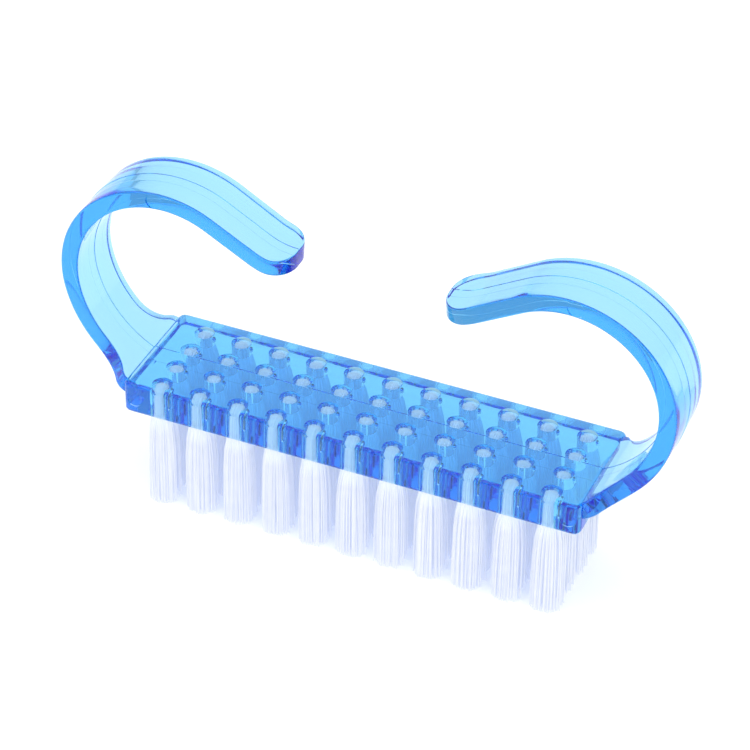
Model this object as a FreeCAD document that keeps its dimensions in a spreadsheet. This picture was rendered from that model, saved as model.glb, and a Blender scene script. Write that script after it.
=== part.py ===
"""Nail scrubbing brush: one clear moulding with two curled finger grips, and 44 tufts of nylon
bristle, each folded over a flat wire anchor that is driven into a blind hole of the moulding.

Millimetres, +Z up. The origin is in the plane of the bristle tips, under the middle of the tuft
grid. +X runs along the block towards one grip and +Y runs across it.
"""
import FreeCAD, Part
import math
import os
import re

import Sketcher

doc = FreeCAD.newDocument("nail_brush")
sheet = doc.addObject("Spreadsheet::Sheet", "Sizes")

# Every driving size, written once: alias, value in millimetres (or degrees, or a count), meaning.
SIZES = [
    ("block_length", 49.2, "moulded block, along X"),
    ("block_width", 13.4, "moulded block, along Y"),
    ("block_thickness", 3.8, "moulded block, along Z"),
    ("corner_round", 0.8, "upright corners of the block"),
    ("rim_round", 0.5, "top and bottom edges of the block"),
    ("bristle_length", 10.9, "free length of the bristles, block underside to tips"),
    ("root_angle", 28.5, "slope at which a grip leaves the top of the block"),
    ("lead_radius", 11.8, "first bend of a grip, on its inner face"),
    ("lead_sweep", 50.0, "turn of that first bend"),
    ("loop_radius", 9.5, "finger loop, on its inner face"),
    ("loop_sweep", 130.6, "turn of the finger loop"),
    ("straight_length", 5.2, "straight stretch after the loop"),
    ("curl_radius", 8.4, "lifting nose of a grip, on its inner face"),
    ("curl_sweep", 29.2, "turn of that nose, the other way"),
    ("grip_thickness", 1.9, "wall of a grip"),
    ("grip_width_low", 7.4, "width of a grip up to the middle of its loop"),
    ("grip_width_middle", 6.5, "what it would narrow to over the middle of the block"),
    ("flare_reach", 4.0, "from the end of the block to where a grip has stopped narrowing"),
    ("flare_shoulder", 1.2, "radius in plan where a grip turns in from the end of the block"),
    ("nose_round", 2.9, "plan corners of a grip's nose"),
    ("columns", 11, "tufts along X"),
    ("rows", 4, "tufts along Y"),
    ("column_pitch", 4.2, "tuft spacing along X"),
    ("row_pitch", 3.2, "tuft spacing along Y"),
    ("hole_diameter", 2.1, "blind hole of a tuft"),
    ("hole_depth", 2.7, "straight depth of that hole"),
    ("hole_dome", 0.3, "height of its domed end"),
    ("tuft_clearance", 0.05, "gap between a tuft and its hole"),
    ("tip_diameter", 2.9, "spread of a tuft at its tips"),
    ("anchor_bite", 0.32, "how far an anchor bites into the hole wall, each side"),
    ("anchor_thickness", 0.3, "anchor wire, along Y"),
    ("anchor_height", 1.3, "anchor wire, along Z"),
    ("anchor_cover", 0.75, "from the top of the hole down to the anchor, filled by the fold"),
    ("anchor_clearance", 0.02, "gap all round an anchor"),
    ("mark_diameter", 1.7, "ejector pin mark"),
    ("mark_depth", 0.1, "ejector pin mark"),
    ("mark_inset", 1.3, "from the end of the block to the middle of its mark"),
    ("mark_angle", 86.0, "place of the mark on a grip, about the middle of its loop"),
]
for line, (alias, value, meaning) in enumerate(SIZES, start=1):
    sheet.set(f"A{line}", meaning)
    sheet.set(f"B{line}", str(value))
    sheet.setAlias(f"B{line}", alias)
doc.recompute()

ALIAS = re.compile(r"\b(" + "|".join(alias for alias, _, _ in SIZES) + r")\b")

# Places that follow from the sizes, as expressions.
HALF_LENGTH = "(block_length / 2)"
HALF_WIDTH = "(block_width / 2)"
BLOCK_TOP = "(bristle_length + block_thickness)"
LEAD_END_ANGLE = "(root_angle + lead_sweep)"
LEAD_END_X = f"({HALF_LENGTH} + lead_radius * (sin({LEAD_END_ANGLE}) - sin(root_angle)))"
LEAD_END_Z = f"({BLOCK_TOP} + lead_radius * (cos(root_angle) - cos({LEAD_END_ANGLE})))"
LOOP_X = f"({LEAD_END_X} - loop_radius * sin({LEAD_END_ANGLE}))"
LOOP_Z = f"({LEAD_END_Z} + loop_radius * cos({LEAD_END_ANGLE}))"
LOOP_INSIDE = f"({LOOP_X} + loop_radius)"
STRAIGHT_ANGLE = f"({LEAD_END_ANGLE} + loop_sweep)"
HALF_LOW = "(grip_width_low / 2)"
HALF_ROOT = f"({HALF_WIDTH} - corner_round)"
FLARE_STEP = f"({HALF_ROOT} - {HALF_LOW})"
NARROWING = f"({HALF_LOW} - grip_width_middle / 2)"
FIRST_COLUMN = "(-(columns - 1) / 2 * column_pitch)"
FIRST_ROW = "(-(rows - 1) / 2 * row_pitch)"
HOLE_TOP = "(bristle_length + hole_depth + hole_dome)"
ANCHOR_BOTTOM = f"({HOLE_TOP} - anchor_cover - anchor_height)"
ANCHOR_LENGTH = "(hole_diameter + 2 * anchor_bite)"
MARK_RISE = "(sin(mark_angle) * (loop_radius + grip_thickness / 2))"
BEYOND = "(block_length + block_width)"

# Tolerances for picking edges to round.
NOTHING = 1e-4
SLIGHT = 0.2

START, END, CENTRE = 1, 2, 3
SKETCH_ORIGIN = (-1, 1)


def sized(expression):
    """The expression with its aliases written as cells of the sheet."""
    return ALIAS.sub(r"Sizes.\1", expression)


def number(expression):
    """The value of an expression in aliases."""
    return float(sheet.evalExpression(sized(expression)))


def bind(thing, **properties):
    """Bind properties of an object to expressions in aliases; __ stands for a dot."""
    for name, expression in properties.items():
        thing.setExpression(name.replace("__", "."), sized(expression))


def origin_item(body, role):
    """The origin plane or axis of a body that has this role."""
    return next(item for item in body.Origin.OriginFeatures if item.Role == role)


def new_sketch(body, name, role, offset=("0", "0", "0")):
    """A sketch on an origin plane of the body, moved by an offset along its own axes."""
    sketch = body.newObject("Sketcher::SketchObject", name)
    sketch.AttachmentSupport = [(origin_item(body, role), "")]
    sketch.MapMode = "FlatFace"
    across, up, out = offset
    bind(sketch, AttachmentOffset__Base__x=across, AttachmentOffset__Base__y=up,
         AttachmentOffset__Base__z=out)
    return sketch


def dimension(sketch, name, kind, where, expression):
    """A named dimension of a sketch, bound to an expression in aliases."""
    value = number(expression)
    if kind == "Angle":
        value = math.radians(value)
    index = sketch.addConstraint(Sketcher.Constraint(kind, *where, value))
    sketch.renameConstraint(index, name)
    sketch.setExpression(f"Constraints.{name}", sized(expression))


def place(sketch, name, geometry, end, across, up):
    """Fix a point of the sketch at a pair of expressions, measured from the sketch's origin."""
    dimension(sketch, f"{name}_across", "DistanceX", (*SKETCH_ORIGIN, geometry, end), across)
    dimension(sketch, f"{name}_up", "DistanceY", (*SKETCH_ORIGIN, geometry, end), up)


def line_to(sketch, start, end):
    """A straight line between two vectors, as geometry of the sketch."""
    return sketch.addGeometry(Part.LineSegment(start, end), False)


def join(sketch, first, second):
    """The end of one piece of geometry is the start of the next."""
    sketch.addConstraint(Sketcher.Constraint("Coincident", first, END, second, START))


def polygon(sketch, name, points):
    """A closed outline of straight lines through points given as pairs of expressions."""
    corners = [FreeCAD.Vector(number(across), number(up), 0) for across, up in points]
    lines = [line_to(sketch, corner, corners[(index + 1) % len(corners)])
             for index, corner in enumerate(corners)]
    for index, line in enumerate(lines):
        join(sketch, line, lines[(index + 1) % len(lines)])
        place(sketch, f"{name}_{index}", line, START, *points[index])


def new_body(name):
    """A PartDesign body whose label is its name."""
    body = doc.addObject("PartDesign::Body", name)
    body.Label = name
    return body


def arc(centre, radius, start_angle, end_angle):
    """A counter-clockwise arc, its angles in degrees."""
    circle = Part.Circle(centre, FreeCAD.Vector(0, 0, 1), radius)
    return Part.ArcOfCircle(circle, math.radians(start_angle), math.radians(end_angle))


def edges(feature, wanted):
    """Names of the edges of a feature's shape for which wanted(edge) holds."""
    numbered = enumerate(feature.Shape.Edges, start=1)
    return [f"Edge{index}" for index, edge in numbered if wanted(edge)]


def spans(edge):
    """How far an edge reaches along X, Y and Z."""
    box = edge.BoundBox
    return box.XLength, box.YLength, box.ZLength


def round_edges(body, name, wanted, radius):
    """A fillet on the wanted edges of the body's newest feature."""
    doc.recompute()
    base = body.Tip
    fillet = body.newObject("PartDesign::Fillet", name)
    fillet.Base = (base, edges(base, wanted))
    bind(fillet, Radius=radius)
    body.Tip = fillet
    return fillet


def handle_moulding():
    """The clear moulding: the block, both grips and the blind holes, made in one shot."""
    body = new_body("handle_moulding")

    # The block is a plate with rounded corners and rims.
    plan = new_sketch(body, "block_plan", "XY_Plane", ("0", "0", "bristle_length"))
    polygon(plan, "corner", [(f"-{HALF_LENGTH}", f"-{HALF_WIDTH}"), (HALF_LENGTH, f"-{HALF_WIDTH}"),
                             (HALF_LENGTH, HALF_WIDTH), (f"-{HALF_LENGTH}", HALF_WIDTH)])
    block = body.newObject("PartDesign::Pad", "block")
    block.Profile = plan
    bind(block, Length="block_thickness")
    round_edges(body, "upright_corners",
                lambda edge: max(spans(edge)[:2]) < NOTHING, "corner_round")
    round_edges(body, "rims", lambda edge: spans(edge)[2] < NOTHING, "rim_round")

    # A grip is a curled strip, drawn in side view.
    side = grip_side_view(body)
    grip = body.newObject("PartDesign::Pad", "grip")
    grip.Profile = side
    grip.SideType = "Symmetric"
    bind(grip, Length=f"2 * {HALF_ROOT}")

    # Seen from above, it narrows towards its nose once it is past the outside of its loop.
    taper = new_sketch(body, "grip_taper", "XY_Plane", ("0", "0", LOOP_Z))
    for name, sign in (("front", "-"), ("back", "")):
        polygon(taper, name, [
            ("0", f"{sign}(grip_width_middle / 2)"), (LOOP_INSIDE, f"{sign}{HALF_LOW}"),
            (BEYOND, f"{sign}{HALF_LOW}"), (BEYOND, f"{sign}{BEYOND}"), ("0", f"{sign}{BEYOND}")])
    narrowing = body.newObject("PartDesign::Pocket", "grip_narrowing")
    narrowing.Profile = taper
    narrowing.Reversed = True
    bind(narrowing, Length=BEYOND)

    # Its lower half widens in an S-bend to the corners of the block.
    flaring = body.newObject("PartDesign::Pocket", "root_flare")
    flaring.Profile = flare_plan(body)
    flaring.Reversed = True
    bind(flaring, Length=LOOP_Z)

    # The other grip is its mirror image.
    mirror = body.newObject("PartDesign::Mirrored", "other_grip")
    mirror.Originals = [grip, narrowing, flaring]
    mirror.MirrorPlane = (origin_item(body, "YZ_Plane"), [""])
    body.Tip = mirror

    # Both noses are rounded in plan.
    loop_z = number(LOOP_Z)
    round_edges(body, "nose_corners",
                lambda edge: edge.BoundBox.ZMin > loop_z and max(spans(edge)[:2]) < SLIGHT
                and edge.Length > number("grip_thickness") - SLIGHT, "nose_round")
    ejector_marks(body)
    tuft_holes(body)
    doc.recompute()
    return body


def ejector_marks(body):
    """Shallow discs left by the ejector pins: near both ends of the front, and on both grips."""
    block_x = f"({HALF_LENGTH} - mark_inset)"
    grip_x = f"({LOOP_X} + cos(mark_angle) * (loop_radius + grip_thickness / 2))"
    lean = f"({NARROWING} * (1 - {grip_x} / {LOOP_INSIDE}))"
    for name, face, across, up, depth in (
            ("block", HALF_WIDTH, block_x, "bristle_length + block_thickness / 2", "mark_depth"),
            ("grip", HALF_LOW, grip_x, f"{LOOP_Z} + {MARK_RISE}", f"mark_depth + {lean}")):
        discs = new_sketch(body, f"{name}_mark_discs", "XZ_Plane", ("0", "0", face))
        for side, sign in (("left", "-"), ("right", "")):
            centre = FreeCAD.Vector(number(f"{sign}{across}"), number(up), 0)
            disc = sketch_circle(discs, centre, number("mark_diameter / 2"))
            place(discs, side, disc, CENTRE, f"{sign}{across}", up)
            dimension(discs, f"{side}_radius", "Radius", (disc,), "mark_diameter / 2")
        marks = body.newObject("PartDesign::Pocket", f"{name}_marks")
        marks.Profile = discs
        bind(marks, Length=depth)
        body.Tip = marks
    doc.recompute()


def sketch_circle(sketch, centre, radius):
    """A full circle, as geometry of the sketch."""
    return sketch.addGeometry(Part.Circle(centre, FreeCAD.Vector(0, 0, 1), radius), False)


def domed_column(sketch, radius, foot, straight_top, dome):
    """Half outline of an upright column with a domed top, its axis on the sketch's upright axis."""
    low = FreeCAD.Vector(0, number(foot), 0)
    low_edge = FreeCAD.Vector(number(radius), low.y, 0)
    high_edge = FreeCAD.Vector(number(radius), number(straight_top), 0)
    summit = FreeCAD.Vector(0, number(f"{straight_top} + {dome}"), 0)
    rise, reach = summit.y - high_edge.y, high_edge.x
    sphere = (reach * reach + rise * rise) / (2 * rise)
    centre = FreeCAD.Vector(0, summit.y - sphere, 0)
    start_angle = math.degrees(math.atan2(high_edge.y - centre.y, reach))
    floor = line_to(sketch, low, low_edge)
    wall = line_to(sketch, low_edge, high_edge)
    cap = sketch.addGeometry(arc(centre, sphere, start_angle, 90), False)
    axis = line_to(sketch, summit, low)
    for first, second in ((floor, wall), (wall, cap), (cap, axis), (axis, floor)):
        join(sketch, first, second)
    place(sketch, "foot", floor, START, "0", foot)
    place(sketch, "foot_edge", wall, START, radius, foot)
    place(sketch, "shoulder", cap, START, radius, straight_top)
    place(sketch, "summit", axis, START, "0", f"{straight_top} + {dome}")
    dimension(sketch, "on_axis", "DistanceX", (*SKETCH_ORIGIN, cap, CENTRE), "0")


def tuft_holes(body):
    """The grid of blind holes, each with the two nicks that its anchor's ends are pressed into."""
    outline = new_sketch(body, "hole_outline", "XZ_Plane", (FIRST_COLUMN, "0", f"-{FIRST_ROW}"))
    domed_column(outline, "hole_diameter / 2", "bristle_length", "bristle_length + hole_depth",
                 "hole_dome")
    hole = body.newObject("PartDesign::Groove", "tuft_hole")
    hole.Profile = outline
    hole.ReferenceAxis = (outline, ["V_Axis"])
    hole.Angle = 360

    nick_plan = new_sketch(body, "anchor_nick_plan", "XY_Plane",
                           (FIRST_COLUMN, FIRST_ROW, f"{ANCHOR_BOTTOM} - anchor_clearance"))
    rectangle(nick_plan, f"{ANCHOR_LENGTH} + 2 * anchor_clearance",
              "anchor_thickness + 2 * anchor_clearance")
    nicks = body.newObject("PartDesign::Pocket", "anchor_nicks")
    nicks.Profile = nick_plan
    nicks.Reversed = True
    bind(nicks, Length="anchor_height + 2 * anchor_clearance")
    doc.recompute()

    grid = body.newObject("PartDesign::LinearPattern", "hole_grid")
    grid.Originals = [hole, nicks]
    on_grid(grid, body)
    body.Tip = grid


def rectangle(sketch, length, width):
    """A rectangle about the origin of a sketch."""
    polygon(sketch, "corner", [
        (f"-({length}) / 2", f"-({width}) / 2"), (f"({length}) / 2", f"-({width}) / 2"),
        (f"({length}) / 2", f"({width}) / 2"), (f"-({length}) / 2", f"({width}) / 2")])


def on_grid(pattern, body):
    """Repeat a pattern's originals over the whole tuft grid, from its corner at -X and -Y."""
    pattern.Direction = (origin_item(body, "X_Axis"), [""])
    pattern.Direction2 = (origin_item(body, "Y_Axis"), [""])
    pattern.Mode = "Extent"
    pattern.Mode2 = "Extent"
    bind(pattern, Length="(columns - 1) * column_pitch", Occurrences="columns",
         Length2="(rows - 1) * row_pitch", Occurrences2="rows")


def grip_side_view(body):
    """Outline of the grip at +X: first bend, loop, straight, lifting nose, and back outside."""
    sketch = new_sketch(body, "grip_side_view", "XZ_Plane")
    wall = number("grip_thickness")
    root_angle, lead_angle = number("root_angle"), number(LEAD_END_ANGLE)
    straight_angle = number(STRAIGHT_ANGLE)
    nose_angle = straight_angle - number("curl_sweep")
    lead, loop, curl = number("lead_radius"), number("loop_radius"), number("curl_radius")

    def left_of(angle, distance):
        """A step of this length, square to a heading and to its left."""
        turned = math.radians(angle + 90)
        return FreeCAD.Vector(math.cos(turned), math.sin(turned), 0) * distance

    root = FreeCAD.Vector(number(HALF_LENGTH), number(BLOCK_TOP), 0)
    lead_centre = root + left_of(root_angle, lead)
    lead_end = lead_centre - left_of(lead_angle, lead)
    loop_centre = lead_end + left_of(lead_angle, loop)
    loop_end = loop_centre - left_of(straight_angle, loop)
    straight_end = loop_end - left_of(straight_angle + 90, number("straight_length"))
    curl_centre = straight_end - left_of(straight_angle, curl)
    nose = curl_centre + left_of(nose_angle, curl)
    outer_nose = nose - left_of(nose_angle, wall)
    inside_x = root.x - wall
    outer_root = root - left_of(root_angle, wall)
    inside_low = outer_root + FreeCAD.Vector(
        inside_x - outer_root.x, (inside_x - outer_root.x) * math.tan(math.radians(root_angle)), 0)
    inside_high = FreeCAD.Vector(inside_x, root.y, 0)

    inner_lead = sketch.addGeometry(arc(lead_centre, lead, root_angle - 90, lead_angle - 90), False)
    inner_loop = sketch.addGeometry(
        arc(loop_centre, loop, lead_angle - 90, straight_angle - 90), False)
    inner_straight = line_to(sketch, loop_end, straight_end)
    inner_curl = sketch.addGeometry(
        arc(curl_centre, curl, nose_angle + 90, straight_angle + 90), False)
    end_face = line_to(sketch, nose, outer_nose)
    outer_curl = sketch.addGeometry(
        arc(curl_centre, curl - wall, nose_angle + 90, straight_angle + 90), False)
    outer_straight = line_to(sketch, straight_end - left_of(straight_angle, wall),
                             loop_end - left_of(straight_angle, wall))
    outer_loop = sketch.addGeometry(
        arc(loop_centre, loop + wall, lead_angle - 90, straight_angle - 90), False)
    outer_lead = sketch.addGeometry(
        arc(lead_centre, lead + wall, root_angle - 90, lead_angle - 90), False)
    buried_slope = line_to(sketch, outer_root, inside_low)
    buried_side = line_to(sketch, inside_low, inside_high)
    buried_top = line_to(sketch, inside_high, root)

    def tangent(first, first_end, second, second_end):
        sketch.addConstraint(
            Sketcher.Constraint("Tangent", first, first_end, second, second_end))

    tangent(inner_lead, END, inner_loop, START)
    tangent(inner_loop, END, inner_straight, START)
    tangent(inner_straight, END, inner_curl, END)
    tangent(outer_curl, END, outer_straight, START)
    tangent(outer_straight, END, outer_loop, END)
    tangent(outer_loop, START, outer_lead, END)
    tangent(outer_lead, START, buried_slope, START)
    for first, first_end, second, second_end in (
            (end_face, END, outer_curl, START), (buried_slope, END, buried_side, START),
            (buried_side, END, buried_top, START), (buried_top, END, inner_lead, START),
            (outer_lead, CENTRE, inner_lead, CENTRE), (outer_loop, CENTRE, inner_loop, CENTRE),
            (outer_curl, CENTRE, inner_curl, CENTRE)):
        sketch.addConstraint(
            Sketcher.Constraint("Coincident", first, first_end, second, second_end))
    sketch.addConstraint(Sketcher.Constraint("Parallel", inner_straight, outer_straight))
    sketch.addConstraint(Sketcher.Constraint("Perpendicular", inner_curl, START, end_face, START))
    sketch.addConstraint(Sketcher.Constraint("Vertical", buried_side))
    sketch.addConstraint(Sketcher.Constraint("Horizontal", buried_top))
    place(sketch, "root", inner_lead, START, HALF_LENGTH, BLOCK_TOP)
    place(sketch, "lead_centre", inner_lead, CENTRE,
          f"{HALF_LENGTH} - lead_radius * sin(root_angle)",
          f"{BLOCK_TOP} + lead_radius * cos(root_angle)")
    dimension(sketch, "lead_sweep", "Angle", (inner_lead,), "lead_sweep")
    dimension(sketch, "loop_radius", "Radius", (inner_loop,), "loop_radius")
    dimension(sketch, "wall", "Radius", (outer_loop,), "loop_radius + grip_thickness")
    dimension(sketch, "loop_sweep", "Angle", (inner_loop,), "loop_sweep")
    dimension(sketch, "straight", "Distance", (inner_straight,), "straight_length")
    dimension(sketch, "curl_radius", "Radius", (inner_curl,), "curl_radius")
    dimension(sketch, "curl_sweep", "Angle", (inner_curl,), "curl_sweep")
    dimension(sketch, "outer_lead_sweep", "Angle", (outer_lead,), "lead_sweep")
    dimension(sketch, "buried", "DistanceX", (buried_top, START, buried_top, END),
              "grip_thickness")
    return sketch


def flare_plan(body):
    """Plan of what is cut away beside the lower half of the grip at +X, on both its sides. Each
    inner boundary is an S-bend: a tight arc out of the block's corner, then a wide one."""
    sketch = new_sketch(body, "flare_plan", "XY_Plane")
    end, far = number(HALF_LENGTH), number(BEYOND)
    reach, step, tight = number("flare_reach"), number(FLARE_STEP), number("flare_shoulder")
    both = (reach * reach / step + step) / 2
    turn = math.degrees(math.asin(reach / both))
    straight = f"{HALF_LENGTH} + flare_reach"
    for name, sign, side in (("front", "-", -1), ("back", "", 1)):
        low, root = number(HALF_LOW) * side, number(HALF_ROOT) * side
        start = FreeCAD.Vector(end + reach, low, 0)
        corners = [start, FreeCAD.Vector(far, low, 0), FreeCAD.Vector(far, side * far, 0),
                   FreeCAD.Vector(end, side * far, 0), FreeCAD.Vector(end, root, 0)]
        lines = [line_to(sketch, corners[index], corners[index + 1]) for index in range(4)]
        tight_centre = FreeCAD.Vector(end, root - side * tight, 0)
        wide_centre = start + FreeCAD.Vector(0, side * (both - tight), 0)
        tight_angles = (90 - turn, 90) if side > 0 else (270, 270 + turn)
        wide_angles = (270 - turn, 270) if side > 0 else (90, 90 + turn)
        shoulder = sketch.addGeometry(arc(tight_centre, tight, *tight_angles), False)
        bend = sketch.addGeometry(arc(wide_centre, both - tight, *wide_angles), False)
        meet, away = (START, END) if side > 0 else (END, START)
        for index in range(3):
            join(sketch, lines[index], lines[index + 1])
        sketch.addConstraint(Sketcher.Constraint("Coincident", lines[3], END, shoulder, away))
        sketch.addConstraint(Sketcher.Constraint("Coincident", lines[0], START, bend, away))
        sketch.addConstraint(Sketcher.Constraint("Tangent", shoulder, meet, bend, meet))
        place(sketch, f"{name}_straight", lines[0], START, straight, f"{sign}{HALF_LOW}")
        place(sketch, f"{name}_corner", lines[1], START, BEYOND, f"{sign}{HALF_LOW}")
        place(sketch, f"{name}_far", lines[2], START, BEYOND, f"{sign}{BEYOND}")
        place(sketch, f"{name}_end", lines[3], START, HALF_LENGTH, f"{sign}{BEYOND}")
        place(sketch, f"{name}_root", lines[3], END, HALF_LENGTH, f"{sign}{HALF_ROOT}")
        dimension(sketch, f"{name}_shoulder", "Radius", (shoulder,), "flare_shoulder")
        dimension(sketch, f"{name}_shoulder_centre", "DistanceX",
                  (*SKETCH_ORIGIN, shoulder, CENTRE), HALF_LENGTH)
        dimension(sketch, f"{name}_bend_centre", "DistanceX",
                  (*SKETCH_ORIGIN, bend, CENTRE), straight)
    return sketch


def tuft(row, column):
    """One tuft: a bundle of bristle, folded round its anchor inside the hole, spread at its tips."""
    body = new_body(f"tuft_row{row + 1}_column{column + 1:02d}")
    bind(body, Placement__Base__x=f"{FIRST_COLUMN} + {column} * column_pitch",
         Placement__Base__y=f"{FIRST_ROW} + {row} * row_pitch")
    outline = new_sketch(body, f"{body.Name}_outline", "XZ_Plane")
    tuft_outline(outline)
    bundle = body.newObject("PartDesign::Revolution", f"{body.Name}_bundle")
    bundle.Profile = outline
    bundle.ReferenceAxis = (outline, ["V_Axis"])
    bundle.Angle = 360

    window = new_sketch(body, f"{body.Name}_fold_outline", "YZ_Plane")
    half = "(anchor_thickness / 2 + anchor_clearance)"
    low = f"({ANCHOR_BOTTOM} - anchor_clearance)"
    high = f"({ANCHOR_BOTTOM} + anchor_height + anchor_clearance)"
    polygon(window, "corner", [(f"-{half}", low), (half, low), (half, high), (f"-{half}", high)])
    fold = body.newObject("PartDesign::Pocket", f"{body.Name}_fold")
    fold.Profile = window
    fold.SideType = "Symmetric"
    bind(fold, Length="2 * hole_diameter")
    body.Tip = fold
    return body


def tuft_outline(sketch):
    """Half outline of a tuft: flat tips, a straight spread, a round tail and its domed fold."""
    tip = FreeCAD.Vector(number("tip_diameter / 2"), 0, 0)
    tail = "(hole_diameter / 2 - tuft_clearance)"
    mouth = FreeCAD.Vector(number(tail), number("bristle_length"), 0)
    shoulder_height = "(bristle_length + hole_depth)"
    shoulder = FreeCAD.Vector(mouth.x, number(shoulder_height), 0)
    dome = "(hole_dome - tuft_clearance)"
    rise = number(dome)
    sphere = (shoulder.x * shoulder.x + rise * rise) / (2 * rise)
    summit = FreeCAD.Vector(0, shoulder.y + rise, 0)
    centre = FreeCAD.Vector(0, summit.y - sphere, 0)
    start_angle = math.degrees(math.atan2(shoulder.y - centre.y, shoulder.x))
    floor = line_to(sketch, FreeCAD.Vector(0, 0, 0), tip)
    spread = line_to(sketch, tip, mouth)
    wall = line_to(sketch, mouth, shoulder)
    cap = sketch.addGeometry(arc(centre, sphere, start_angle, 90), False)
    axis = line_to(sketch, summit, FreeCAD.Vector(0, 0, 0))
    for first, second in ((floor, spread), (spread, wall), (wall, cap), (cap, axis), (axis, floor)):
        join(sketch, first, second)
    place(sketch, "foot", floor, START, "0", "0")
    place(sketch, "tip", spread, START, "tip_diameter / 2", "0")
    place(sketch, "mouth", wall, START, tail, "bristle_length")
    place(sketch, "shoulder", cap, START, tail, shoulder_height)
    place(sketch, "summit", axis, START, "0", f"{shoulder_height} + {dome}")
    dimension(sketch, "on_axis", "DistanceX", (*SKETCH_ORIGIN, cap, CENTRE), "0")


def tuft_anchors():
    """The anchors: short pieces of flat wire, one across every hole, each a solid of its own."""
    body = new_body("tuft_anchors")
    body.AllowCompound = True
    plan = new_sketch(body, "anchor_plan", "XY_Plane", (FIRST_COLUMN, FIRST_ROW, ANCHOR_BOTTOM))
    rectangle(plan, ANCHOR_LENGTH, "anchor_thickness")
    wire = body.newObject("PartDesign::Pad", "anchor_wire")
    wire.Profile = plan
    bind(wire, Length="anchor_height")
    doc.recompute()
    grid = body.newObject("PartDesign::LinearPattern", "anchor_grid")
    grid.Originals = [wire]
    on_grid(grid, body)
    body.Tip = grid
    return body


sub_parts = [handle_moulding(), tuft_anchors()]
for row in range(int(number("rows"))):
    for column in range(int(number("columns"))):
        sub_parts.append(tuft(row, column))
doc.recompute()

for thing in doc.Objects:
    if "Invalid" in thing.State or "Error" in thing.State:
        raise RuntimeError(f"{thing.Label} failed: {thing.State}")
for part in sub_parts:
    if part.Shape.isNull() or not part.Shape.isValid():
        raise RuntimeError(f"{part.Label} has no valid shape")

os.makedirs("parts", exist_ok=True)
for part in sub_parts:
    part.Shape.exportStep(f"parts/{part.Label}.step")
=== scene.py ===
"""Looks of a nail scrubbing brush: a clear blue moulding with two curled finger grips, over 44 tufts
of white nylon. Sizes in the sections are millimetres; meshes are written in metres, in the row frame."""
import math

import bpy
import numpy as np
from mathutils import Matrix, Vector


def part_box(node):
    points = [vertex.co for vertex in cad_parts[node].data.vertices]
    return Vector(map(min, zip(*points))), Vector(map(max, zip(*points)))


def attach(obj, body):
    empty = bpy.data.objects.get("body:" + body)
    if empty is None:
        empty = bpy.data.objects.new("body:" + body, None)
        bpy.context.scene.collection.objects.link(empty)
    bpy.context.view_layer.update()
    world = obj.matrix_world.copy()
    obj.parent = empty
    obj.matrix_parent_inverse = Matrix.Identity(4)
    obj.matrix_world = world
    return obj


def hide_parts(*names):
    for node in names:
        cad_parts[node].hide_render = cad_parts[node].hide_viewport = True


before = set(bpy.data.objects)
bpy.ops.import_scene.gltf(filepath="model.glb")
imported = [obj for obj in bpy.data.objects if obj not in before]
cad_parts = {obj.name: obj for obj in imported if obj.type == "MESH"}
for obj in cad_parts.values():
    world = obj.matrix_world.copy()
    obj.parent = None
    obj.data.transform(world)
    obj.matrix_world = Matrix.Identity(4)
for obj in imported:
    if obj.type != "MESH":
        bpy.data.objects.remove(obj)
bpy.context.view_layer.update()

# ---- The moulding ---------------------------------------------------------------------------
# The block and both finger grips are one shot of clear acrylic, tinted blue in the melt. The mould
# opened to the front and to the back, so the faces slope away from a fine parting line at y = 0, and
# core pins left the blind tuft holes. Nothing is painted: its depth of blue is depth of plastic.
MM = 0.001
BLOCK_HALF_LENGTH = 24.6
BLOCK_HALF_WIDTH = 6.7
BLOCK_UNDERSIDE = 10.9
BLOCK_THICKNESS = 3.8
BLOCK_TOP = BLOCK_UNDERSIDE + BLOCK_THICKNESS
BLOCK_CORNER = 0.8
BLOCK_EDGE = 0.5
GRIP_THICKNESS = 1.9
GRIP_EDGE = 0.2
GRIP_HEADINGS = (28.5, 78.5, 209.1, 209.1, 179.9)
GRIP_STRETCHES = (11.8 * math.radians(50.0), 9.5 * math.radians(130.6), 5.2,
                  8.4 * math.radians(29.2))
GRIP_BURIED = 2.2
GRIP_HALF_WIDTH = 3.7
GRIP_HALF_WIDTH_MIDDLE = 3.25
GRIP_WIDEST_X = 30.7
FLARE_HALF_WIDTH = 5.9
FLARE_REACH = 4.0
FLARE_SHOULDER = 1.2
GRIP_NOSE_CORNER = 2.9
GRIP_FINE_STRETCH = 6.0
GRIP_FLARED_STRETCH = 8.0
DRAFT = math.tan(math.radians(0.6))
SEAM_HALF_WIDTH = 0.05
SEAM_HEIGHT = 0.04
EDGE_STEPS = 5
FACE_STEPS = 5


def ring_pattern(edge_steps, face_steps):
    """One turn round a strip's section, as four quarters: which side of the strip each point is on,
    how far round the edge it is, how far out over the face, and how far out over the seam."""
    turn = np.concatenate([np.linspace(0, 1, edge_steps + 1), np.ones(face_steps + 1)])
    face = np.concatenate([np.ones(edge_steps + 1), np.linspace(1, 0, face_steps + 1)[1:-1], [0, 0]])
    seam = np.concatenate([np.zeros(edge_steps + face_steps), [1, 0.5]])
    middle = np.array([1.0]), np.array([0.0]), np.array([0.0])
    back = [np.concatenate([a, m, a[::-1]]) for a, m in zip((turn, face, seam), middle)]
    count = len(turn)
    across = np.concatenate([np.ones(count), [0], -np.ones(count)])
    return (np.concatenate([across, -across]), np.repeat([1.0, -1.0], len(across)),
            *(np.tile(a, 2) for a in back))


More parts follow.
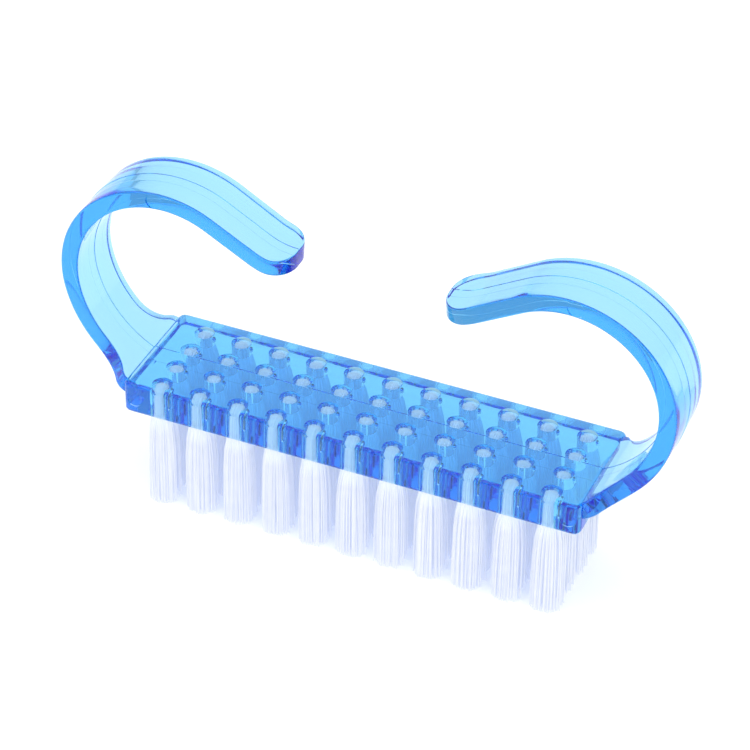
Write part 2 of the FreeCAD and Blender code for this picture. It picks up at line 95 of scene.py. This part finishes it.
def strip(path, heading, from_end, half_width, thickness, edge, corner):
    """A flat strip carried along a path in the XZ plane. At distance d from a rounded end its edge
    rounding turns through arccos(1 - d / edge), and at inset i it is as wide as its plan corners
    leave: W - c + sqrt((c - i)^2 - (c - d)^2). Its faces fall away from the seam by the draft."""
    across, side, turn, face, seam = (a[None, :] for a in ring_pattern(EDGE_STEPS, FACE_STEPS))
    near = np.minimum(from_end, corner)[:, None]
    most = np.arccos(1 - np.minimum(from_end / edge, 1))[:, None]
    angle = most * turn
    inset = edge * (1 - np.cos(angle))
    room = np.sqrt(np.maximum((corner - inset) ** 2 - (corner - near) ** 2, 0))
    reach = half_width[:, None] - corner + room
    y = across * (reach * face + SEAM_HALF_WIDTH * seam)
    fade = np.minimum(from_end / edge, 1)[:, None]
    ridge = SEAM_HEIGHT * fade * (1 + np.cos(np.pi * np.minimum(abs(y) / SEAM_HALF_WIDTH, 1))) / 2
    n = side * (thickness / 2 - edge + edge * np.sin(angle) - DRAFT * abs(y) + ridge)
    x = path[:, :1] - np.sin(heading)[:, None] * n
    z = path[:, 1:] + np.cos(heading)[:, None] * n
    return np.stack([x, y + 0 * x, z], axis=-1)


def tube_mesh(name, grid):
    """A closed mesh over a grid of rings: quads between neighbours and one flat face at each end."""
    rings, count = grid.shape[:2]
    index = np.arange(rings * count).reshape(rings, count)
    beside = np.roll(index, -1, axis=1)
    quads = np.stack([index[:-1], beside[:-1], beside[1:], index[1:]], axis=-1).reshape(-1, 4)
    mesh = bpy.data.meshes.new(name)
    faces = [*quads.tolist(), index[0][::-1].tolist(), index[-1].tolist()]
    mesh.from_pydata((grid.reshape(-1, 3) * MM).tolist(), [], faces)
    mesh.validate()
    return mesh


def end_steps(size, steps):
    """Distances from a rounded end that follow its rounding: size * (1 - cos)."""
    return size * (1 - np.cos(np.linspace(0, math.pi / 2, steps + 1)))


def block_grid():
    """The block: a straight strip along X with both ends rounded in plan."""
    ends = np.unique(np.concatenate([end_steps(BLOCK_EDGE, 6), end_steps(BLOCK_CORNER, 8)]))
    length = 2 * BLOCK_HALF_LENGTH
    along = np.concatenate([ends, np.linspace(BLOCK_CORNER, length - BLOCK_CORNER, 60)[1:-1],
                            length - ends[::-1]])
    middle = (BLOCK_UNDERSIDE + BLOCK_TOP) / 2
    path = np.stack([along - BLOCK_HALF_LENGTH, np.full(len(along), middle)], axis=1)
    return strip(path, np.zeros(len(along)), np.minimum(along, length - along),
                 np.full(len(along), BLOCK_HALF_WIDTH), BLOCK_THICKNESS, BLOCK_EDGE, BLOCK_CORNER)


def grip_path(distance):
    """Middle line of the grip at +X and its heading, at distances from its root on the inner face.
    The heading runs evenly within each stretch, and the line is its integral."""
    knots = np.concatenate([[0], np.cumsum(GRIP_STRETCHES)])
    fine = np.linspace(-GRIP_BURIED, knots[-1], 20001)
    heading = np.radians(np.interp(fine, knots, GRIP_HEADINGS))
    step = fine[1] - fine[0]
    middle = (heading[1:] + heading[:-1]) / 2
    line = np.concatenate([[[0, 0]], np.cumsum(
        np.stack([np.cos(middle), np.sin(middle)], axis=1) * step, axis=0)])
    root = np.array([np.interp(0, fine, line[:, 0]), np.interp(0, fine, line[:, 1])])
    line += np.array([BLOCK_HALF_LENGTH, BLOCK_TOP]) - root
    line += np.stack([np.sin(heading), -np.cos(heading)], axis=1) * GRIP_THICKNESS / 2
    return (np.stack([np.interp(distance, fine, line[:, 0]), np.interp(distance, fine, line[:, 1])],
                     axis=1), np.interp(distance, fine, heading))


def grip_half_width(x):
    """Half width of the grip at +X. It leaves the block in an S-bend, whose arcs R and r fill the
    reach L and the step h as R + r = (L^2 / h + h) / 2, and it narrows evenly towards the nose."""
    step = FLARE_HALF_WIDTH - GRIP_HALF_WIDTH
    both = (FLARE_REACH ** 2 / step + step) / 2
    wide = both - FLARE_SHOULDER
    out = np.clip(x - BLOCK_HALF_LENGTH, 0, FLARE_REACH)
    shoulder = FLARE_SHOULDER - np.sqrt(FLARE_SHOULDER ** 2 - np.minimum(out, FLARE_SHOULDER) ** 2)
    bend = wide - np.sqrt(np.maximum(wide ** 2 - (FLARE_REACH - out) ** 2, 0))
    meets = FLARE_REACH * FLARE_SHOULDER / both
    return np.where(out < meets, FLARE_HALF_WIDTH - shoulder, GRIP_HALF_WIDTH + bend)


def grip_grid():
    """The grip at +X: its flare is only in the lower half, and its upper half narrows."""
    length = sum(GRIP_STRETCHES)
    nose = np.unique(np.concatenate([end_steps(GRIP_EDGE, 5), end_steps(GRIP_NOSE_CORNER, 12)]))
    root = np.linspace(-GRIP_BURIED, GRIP_FINE_STRETCH, 42)
    rest = np.linspace(GRIP_FINE_STRETCH, length - GRIP_NOSE_CORNER, 96)[1:-1]
    distance = np.concatenate([root, rest, length - nose[::-1]])
    path, heading = grip_path(distance)
    narrowed = np.interp(path[:, 0], [0, GRIP_WIDEST_X], [GRIP_HALF_WIDTH_MIDDLE, GRIP_HALF_WIDTH])
    half_width = np.where(distance < GRIP_FLARED_STRETCH, grip_half_width(path[:, 0]), narrowed)
    return strip(path, heading, length - distance, half_width, GRIP_THICKNESS, GRIP_EDGE,
                 GRIP_NOSE_CORNER)


HOLE_RADIUS = 1.05
HOLE_SHOULDER = 13.6
HOLE_TOP = 13.9
HOLE_SIDES = 40
POCKET_REACH = 1.3
POCKET_RADIUS = 0.24
POCKET_LOW = 11.75
POCKET_HIGH = 13.1
POCKET_BLUNTNESS = 0.6
POCKET_TIP = 0.03
HOLE_TOP_FLAT = 0.05
tuft_nodes = sorted(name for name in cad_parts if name.startswith("tuft_row"))
tuft_places = np.array([[sum(corner[axis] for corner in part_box(name)) / 2 / MM for axis in (0, 1)]
                        for name in tuft_nodes])


def turned_grid(radius, height, sides):
    """A profile turned about the Z axis, as rings of equal counts."""
    angle = np.linspace(0, 2 * math.pi, sides, endpoint=False)
    x = np.outer(radius, np.cos(angle))
    y = np.outer(radius, np.sin(angle))
    return np.stack([x, y, np.repeat(height[:, None], sides, axis=1)], axis=-1)


def hole_grid():
    """A core pin: straight to its shoulder, then a spherical dome that closes in a small flat."""
    rise = HOLE_TOP - HOLE_SHOULDER
    sphere = (HOLE_RADIUS ** 2 + rise ** 2) / (2 * rise)
    radius = HOLE_RADIUS * np.cos(np.linspace(0, math.pi / 2, 13))[:-1]
    height = HOLE_TOP - sphere + np.sqrt(sphere ** 2 - radius ** 2)
    radius = np.concatenate([[HOLE_RADIUS, HOLE_RADIUS], radius, [HOLE_TOP_FLAT]])
    height = np.concatenate([[BLOCK_UNDERSIDE - 1, 12.0], height, [HOLE_TOP]])
    return turned_grid(radius, height, HOLE_SIDES)


def pocket_grid():
    """The bite of an anchor in the wall of its hole at +X, as a blunt spindle: for t from one tip to
    the other its radius goes as sin(t) ** bluntness and its height as (1 - cos(t)) / 2."""
    t = np.linspace(POCKET_TIP, math.pi - POCKET_TIP, 9)
    spindle = turned_grid(POCKET_RADIUS * np.sin(t) ** POCKET_BLUNTNESS, (1 - np.cos(t)) / 2, 12)
    spindle = spindle * [1, 1, POCKET_HIGH - POCKET_LOW]
    return spindle + [POCKET_REACH - POCKET_RADIUS, 0, POCKET_LOW]


def repeated(name, grid, places):
    """One mesh of a ring grid repeated at places, each a closed shell of its own."""
    rings, count = grid.shape[:2]
    index = np.arange(rings * count).reshape(rings, count)
    beside = np.roll(index, -1, axis=1)
    quads = np.stack([index[:-1], beside[:-1], beside[1:], index[1:]], axis=-1).reshape(-1, 4)
    faces = []
    for copy in range(len(places)):
        first = copy * rings * count
        faces += (quads + first).tolist()
        faces += [(index[0][::-1] + first).tolist(), (index[-1] + first).tolist()]
    moved = grid.reshape(1, -1, 3) + np.pad(places, ((0, 0), (0, 3 - places.shape[1])))[:, None, :]
    mesh = bpy.data.meshes.new(name)
    mesh.from_pydata((moved.reshape(-1, 3) * MM).tolist(), [], faces)
    return mesh


def new_object(name, mesh):
    """An object of this mesh, at the origin, in the scene."""
    thing = bpy.data.objects.new(name, mesh)
    bpy.context.scene.collection.objects.link(thing)
    return thing


def combine(thing, operation, cutter):
    """Join a closed mesh to thing, or cut it away, and apply the result."""
    modifier = thing.modifiers.new(operation, "BOOLEAN")
    modifier.operation = operation
    modifier.solver = "EXACT"
    modifier.object = cutter
    graph = bpy.context.evaluated_depsgraph_get()
    result = bpy.data.meshes.new_from_object(thing.evaluated_get(graph))
    thing.modifiers.clear()
    thing.data = result
    bpy.data.objects.remove(cutter)


moulding = new_object("clear_moulding", tube_mesh("clear_moulding", block_grid()))
right_grip = grip_grid()
left_grip = right_grip[:, ::-1] * [-1, 1, 1]
for side, grid in (("right", right_grip), ("left", left_grip)):
    combine(moulding, "UNION", new_object(f"{side}_grip", tube_mesh(f"{side}_grip", grid)))
combine(moulding, "DIFFERENCE", new_object("core_pins", repeated("core_pins", hole_grid(), tuft_places)))
combine(moulding, "DIFFERENCE", new_object("pockets", repeated("pockets", pocket_grid(), tuft_places)))

MARK_RADIUS = 0.85
MARK_DEPTH = 0.1
BLOCK_MARK = (23.3, 12.8, BLOCK_HALF_WIDTH)
GRIP_MARK = (21.95, 35.04, 3.57)
SHARP_ANGLE = math.radians(38)
marks = []
for x, z, face in (BLOCK_MARK, GRIP_MARK):
    for mirror in (-1, 1):
        marks.append((mirror * x, -face, z))
disc = turned_grid(np.array([1.0, 1.0]) * MARK_RADIUS, np.array([-1.0, MARK_DEPTH]), 40)
disc_grid = np.stack([disc[..., 0], disc[..., 2], -disc[..., 1]], axis=-1)
combine(moulding, "DIFFERENCE", new_object("marks", repeated("marks", disc_grid, np.array(marks))))

moulding.data.shade_smooth()
moulding.data.set_sharp_from_angle(angle=SHARP_ANGLE)


def linear(hex_colour):
    """An sRGB hex colour as linear red, green, blue and full alpha."""
    channels = np.array([int(hex_colour[i:i + 2], 16) for i in (1, 3, 5)]) / 255
    low = channels <= 0.04045
    return (*np.where(low, channels / 12.92, ((channels + 0.055) / 1.055) ** 2.4), 1.0)


def node(material, kind, links=(), **settings):
    """Add a node: settings are its properties, or its inputs where a property has no such name,
    and links join (output, input) pairs, each output as (node, socket name)."""
    made = material.node_tree.nodes.new(kind)
    for name, value in settings.items():
        if hasattr(made, name):
            setattr(made, name, value)
        else:
            made.inputs[name.replace("_", " ")].default_value = value
    for (source, output), target in links:
        material.node_tree.links.new(source.outputs[output], made.inputs[target])
    return made


def new_material(name):
    """An empty node material."""
    material = bpy.data.materials.new(name)
    material.use_nodes = True
    material.node_tree.nodes.clear()
    return material


# Clear acrylic from a polished mould: sharp gloss, slow ripples of flow 4 mm apart, and a blue that
# deepens with the path through it, from sky blue across a grip to deep blue along the block.
FLOW_RIPPLE = 3.85
acrylic = new_material("moulded_clear_blue_acrylic")
coordinates = node(acrylic, "ShaderNodeTexCoord")
flow = node(acrylic, "ShaderNodeTexNoise", [((coordinates, "Object"), "Vector")],
            Scale=1 / (FLOW_RIPPLE * MM), Detail=1.0)
waviness = node(acrylic, "ShaderNodeBump", [((flow, "Fac"), "Height")], Distance=0.02 * MM, Strength=1.0)
surface = node(acrylic, "ShaderNodeBsdfPrincipled", [((waviness, "Normal"), "Normal")],
               Base_Color=linear("#E9F0FB"), Roughness=0.02, IOR=1.49, Transmission_Weight=0.99)
depth = node(acrylic, "ShaderNodeVolumeAbsorption", Color=linear("#46E3FD"), Density=430.0)
node(acrylic, "ShaderNodeOutputMaterial", [((surface, "BSDF"), "Surface"), ((depth, "Volume"), "Volume")])
moulding.data.materials.clear()
moulding.data.materials.append(acrylic)
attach(moulding, "root")
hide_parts("handle_moulding")

# ---- The anchors ------------------------------------------------------------------------------
# Short pieces of flat galvanised wire, driven across the holes with the folded tufts. Each stays
# where it bites into the wall of its hole at +X.
ANCHOR_START = -0.95
ANCHOR_END = 1.2
ANCHOR_HALF_THICKNESS = 0.12
ANCHOR_LOW = 11.85
ANCHOR_HIGH = 13.15
ANCHOR_SIDES = 12
ANCHOR_SQUARENESS = 0.5
CUT_LENGTH = 0.04
CUT_SCALE = 0.8


def anchor_grid():
    """A bar along X. Its section is a squared oval, cos and sin of the turn each raised to the
    squareness, and it is smaller at the sheared ends."""
    turn = np.linspace(0, 2 * math.pi, ANCHOR_SIDES, endpoint=False) + math.pi / ANCHOR_SIDES
    oval = np.stack([np.cos(turn), np.sin(turn)], axis=1)
    half_size = [ANCHOR_HALF_THICKNESS, (ANCHOR_HIGH - ANCHOR_LOW) / 2]
    oval = np.sign(oval) * np.abs(oval) ** ANCHOR_SQUARENESS * half_size
    along = np.array([0, CUT_LENGTH, 1 - CUT_LENGTH, 1]) * (ANCHOR_END - ANCHOR_START) + ANCHOR_START
    swell = np.array([CUT_SCALE, 1, 1, CUT_SCALE])[:, None]
    return np.stack([np.repeat(along[:, None], ANCHOR_SIDES, axis=1), swell * oval[:, 0],
                     swell * oval[:, 1] + (ANCHOR_LOW + ANCHOR_HIGH) / 2], axis=-1)


# Galvanised steel: dull grey metal, with a bloom of quarter-millimetre patches in its gloss.
BLOOM_SIZE = 0.25
zinc = new_material("galvanised_flat_wire")
coordinates = node(zinc, "ShaderNodeTexCoord")
patches = node(zinc, "ShaderNodeTexNoise", [((coordinates, "Object"), "Vector")],
               Scale=1 / (BLOOM_SIZE * MM), Detail=2.0)
bloom = node(zinc, "ShaderNodeMapRange", [((patches, "Fac"), "Value")], To_Min=0.3, To_Max=0.5)
metal = node(zinc, "ShaderNodeBsdfPrincipled", [((bloom, "Result"), "Roughness")],
             Base_Color=linear("#A9ADB3"), Metallic=1.0)
node(zinc, "ShaderNodeOutputMaterial", [((metal, "BSDF"), "Surface")])
anchors = new_object("flat_wire_anchors", repeated("flat_wire_anchors", anchor_grid(), tuft_places))
anchors.data.materials.append(zinc)
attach(anchors, "root")
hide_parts("tuft_anchors")

# ---- The tufts --------------------------------------------------------------------------------
# Each tuft is 64 nylon filaments, folded in half over its anchor and trimmed level. Below the block
# its legs spread into a brush, and no two filaments lean or end quite alike.
FILAMENTS = 64
FILAMENT_RADIUS = 0.07
TUFT_RADIUS = 0.9
TUFT_TIP_RADIUS = 1.62
TUFT_ROOM = 0.93
FOLD_HIGH = 13.74
FOLD_LOW = 13.5
FOLD_GATHER = 0.9
FOLD_DROOP = 0.2
ANCHOR_MIDDLE = 12.55
LEG_FLATTENING = 0.82
LEG_GAP = 0.2
LEG_THICKNESS = 0.7
LEG_HEIGHTS = np.array([0.0, 3.5, 6.8, 8.8, 10.1, 10.9])
SPREAD_LENGTH = 1.6
STRAY = 0.03
LEAN = 0.075
TIP_UNEVENNESS = 0.12
dice = np.random.default_rng(7)


def bundle_points(count, radius):
    """Places of filaments over half a disc, by a sunflower spiral: radius sqrt(k / n), golden angle."""
    k = np.arange(2 * count) + 0.5
    r = radius * np.sqrt(k / (2 * count))
    angle = k * math.pi * (3 - math.sqrt(5))
    points = np.stack([r * np.cos(angle), r * np.sin(angle)], axis=1)
    half = points[points[:, 1] > 0]
    return half[np.argsort(half[:, 0])]


def tuft_lines():
    """Centre lines of the filaments of one tuft, tip to tip over the anchor, as an array
    (filament, point, 3)."""
    near = bundle_points(FILAMENTS, TUFT_RADIUS)
    count = len(near)
    near = near * [1, LEG_FLATTENING] + [0, LEG_GAP]
    near += dice.normal(0, STRAY, near.shape)
    far = near * [1, -1] + dice.normal(0, STRAY, near.shape)
    near, far = (side * np.minimum(TUFT_ROOM / np.hypot(*side.T), 1)[:, None] for side in (near, far))
    depth_in_bundle = np.clip((near[:, 1] - LEG_GAP) / LEG_THICKNESS, 0, 1)
    gathered = near[:, :1] * FOLD_GATHER
    apex = FOLD_LOW + (FOLD_HIGH - FOLD_LOW) * depth_in_bundle - FOLD_DROOP * gathered[:, 0] ** 2
    fold = np.linspace(0, math.pi, 7)
    rise = (apex - ANCHOR_MIDDLE)[:, None] * np.sin(fold)
    share = (1 + np.cos(fold)) / 2
    fold_xy = near[:, None, :] * share[None, :, None] + far[:, None, :] * (1 - share)[None, :, None]
    fold_xy[..., 0] += (gathered - near[:, :1]) * np.sin(fold)
    fold_points = np.concatenate([fold_xy, (ANCHOR_MIDDLE + rise)[..., None]], axis=-1)

    def leg(top):
        """A leg from its tip up to the fold. At depth d below the block it has spread as
        1 - exp(-d / spread length), and it leans as (d / bristle length) ** 1.5."""
        below = BLOCK_UNDERSIDE - LEG_HEIGHTS
        spread = 1 + (TUFT_TIP_RADIUS / TUFT_RADIUS - 1) * (1 - np.exp(-below / SPREAD_LENGTH))
        share = (below / BLOCK_UNDERSIDE)[None, :, None] ** 1.5
        lean = dice.normal(0, LEAN, (count, 1, 2)) * share
        xy = top[:, None, :] * spread[None, :, None] + lean
        z = np.repeat(LEG_HEIGHTS[None, :], count, axis=0)
        z[:, 0] += np.abs(dice.normal(0, TIP_UNEVENNESS, count))
        return np.concatenate([xy, z[..., None]], axis=-1)

    return np.concatenate([leg(near), fold_points, leg(far)[:, ::-1]], axis=1)


def filament_mesh(name, lines, radius, sides=4):
    """Thin tubes round many centre lines at once: a square frame that follows each line's tangent."""
    count, points = lines.shape[:2]
    tangent = np.gradient(lines, axis=1)
    tangent /= np.linalg.norm(tangent, axis=-1, keepdims=True)
    first = np.cross(tangent, [1.0, 0.0, 0.0])
    first /= np.linalg.norm(first, axis=-1, keepdims=True)
    second = np.cross(tangent, first)
    angle = np.linspace(0, 2 * math.pi, sides, endpoint=False)
    ring = (first[..., None, :] * np.cos(angle)[:, None] + second[..., None, :] * np.sin(angle)[:, None])
    vertices = lines[..., None, :] + radius * ring
    index = np.arange(count * points * sides).reshape(count, points, sides)
    beside = np.roll(index, -1, axis=-1)
    quads = np.stack([index[:, :-1], beside[:, :-1], beside[:, 1:], index[:, 1:]], axis=-1).reshape(-1, 4)
    caps = np.concatenate([index[:, 0, ::-1], index[:, -1]])
    mesh = bpy.data.meshes.new(name)
    mesh.from_pydata((vertices.reshape(-1, 3) * MM).tolist(), [], np.concatenate([quads, caps]).tolist())
    mesh.shade_smooth()
    mesh.set_sharp_from_angle(angle=math.radians(80))
    return mesh


# White extruded nylon: soft gloss and a faint cloudiness about 1 mm across. Light that enters a tuft
# runs along its filaments, most of all inside the clear block. In its place the tufts carry painted
# light: a faint pale blue glow that grows from 8.5 mm up to 11.5 mm and lifts their shade under and
# inside the block.
CLOUD_SIZE = 1.11
PAINTED_GLOW_LOW = 8.5
PAINTED_GLOW_HIGH = 11.5
nylon = new_material("extruded_white_nylon")
coordinates = node(nylon, "ShaderNodeTexCoord")
milk = node(nylon, "ShaderNodeTexNoise", [((coordinates, "Object"), "Vector")],
            Scale=1 / (CLOUD_SIZE * MM), Detail=1.0)
tone = node(nylon, "ShaderNodeMix", [((milk, "Fac"), "Factor")], data_type="RGBA")
tone.inputs[6].default_value = linear("#DFE2EA")
tone.inputs[7].default_value = linear("#E9EBF2")
# Painted light: the emission colour is a pale blue glow that stands for light coming through the blue
# block.
filament = node(nylon, "ShaderNodeBsdfPrincipled", [((tone, 2), "Base Color")], Roughness=0.45, IOR=1.53,
                Emission_Color=linear("#D9E2F0"))
height = node(nylon, "ShaderNodeSeparateXYZ", [((coordinates, "Object"), "Vector")])
# Painted light: the glow's strength rises with height, lifting the tufts' shade under and inside the
# block.
lit = node(nylon, "ShaderNodeMapRange", [((height, "Z"), "Value")], From_Min=PAINTED_GLOW_LOW * MM,
           From_Max=PAINTED_GLOW_HIGH * MM, To_Min=0.15, To_Max=0.36)
nylon.node_tree.links.new(lit.outputs["Result"], filament.inputs["Emission Strength"])
node(nylon, "ShaderNodeOutputMaterial", [((filament, "BSDF"), "Surface")])
for name, (x, y) in zip(tuft_nodes, tuft_places):
    lines = tuft_lines() + [x, y, 0]
    bundle = new_object(name.replace("tuft", "bristle_tuft"), filament_mesh(name, lines, FILAMENT_RADIUS))
    bundle.data.materials.append(nylon)
    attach(bundle, "root")
    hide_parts(name)

# ---- Studio -----------------------------------------------------------------------------------
# A white sheet that is faintly lit from below, an even white surround and one broad lamp. The camera
# looks down from the front. Sizes of the sheet and the lamp are metres.
SHEET_REACH = 3.0
LAMP_FORWARD = 0.3
LAMP_HEIGHT = 1.4
floor_mesh = bpy.data.meshes.new("white_sheet")
corners = [(x * SHEET_REACH, y * SHEET_REACH, 0) for x, y in ((-1, -1), (1, -1), (1, 1), (-1, 1))]
floor_mesh.from_pydata(corners, [], [(0, 1, 2, 3)])
floor = new_object("white_sheet", floor_mesh)
paper = new_material("matt_white_light_table")
sheet = node(paper, "ShaderNodeBsdfPrincipled", Base_Color=linear("#FFFFFF"), Roughness=0.9,
             Emission_Color=linear("#FFFFFF"), Emission_Strength=0.12)
node(paper, "ShaderNodeOutputMaterial", [((sheet, "BSDF"), "Surface")])
floor_mesh.materials.append(paper)

world = bpy.data.worlds.new("white_surround")
bpy.context.scene.world = world
world.use_nodes = True
world.node_tree.nodes["Background"].inputs["Color"].default_value = linear("#FFFFFF")
world.node_tree.nodes["Background"].inputs["Strength"].default_value = 0.8

lamp_data = bpy.data.lights.new("soft_box", "AREA")
lamp_data.size = 3.0
lamp_data.energy = 18.0
lamp = bpy.data.objects.new("soft_box", lamp_data)
bpy.context.scene.collection.objects.link(lamp)
lamp.location = (0.0, -LAMP_FORWARD, LAMP_HEIGHT)
lamp.rotation_euler = (math.atan2(LAMP_FORWARD, LAMP_HEIGHT), 0.0, 0.0)

CAMERA_AZIMUTH = math.radians(23.345)
CAMERA_ELEVATION = math.radians(36.439)
CAMERA_ROLL = math.radians(0.658)
CAMERA_TARGET = np.array([0.501, -0.764, 19.118])
CAMERA_DISTANCE = 324.05
camera_data = bpy.data.cameras.new("camera")
camera_data.sensor_width = 36.0
camera_data.lens = 158.0
camera_data.clip_start = 0.01
camera_data.clip_end = 10.0
camera = bpy.data.objects.new("camera", camera_data)
bpy.context.scene.collection.objects.link(camera)
back = np.array([math.sin(CAMERA_AZIMUTH) * math.cos(CAMERA_ELEVATION),
                 -math.cos(CAMERA_AZIMUTH) * math.cos(CAMERA_ELEVATION), math.sin(CAMERA_ELEVATION)])
right = np.cross([0, 0, 1], back)
right /= np.linalg.norm(right)
up = np.cross(back, right)
rolled_right = math.cos(CAMERA_ROLL) * right + math.sin(CAMERA_ROLL) * up
rolled_up = math.cos(CAMERA_ROLL) * up - math.sin(CAMERA_ROLL) * right
place = np.eye(4)
place[:3, :3] = np.stack([rolled_right, rolled_up, back], axis=1)
place[:3, 3] = (CAMERA_TARGET + back * CAMERA_DISTANCE) * MM
camera.matrix_world = [list(column) for column in place.T]
bpy.context.scene.camera = camera

# Light crosses many clear walls and white filaments before it leaves the block.
scene = bpy.context.scene
scene.view_settings.view_transform = "Standard"
scene.cycles.max_bounces = 32
scene.cycles.transmission_bounces = 32
scene.cycles.diffuse_bounces = 24
scene.cycles.glossy_bounces = 32
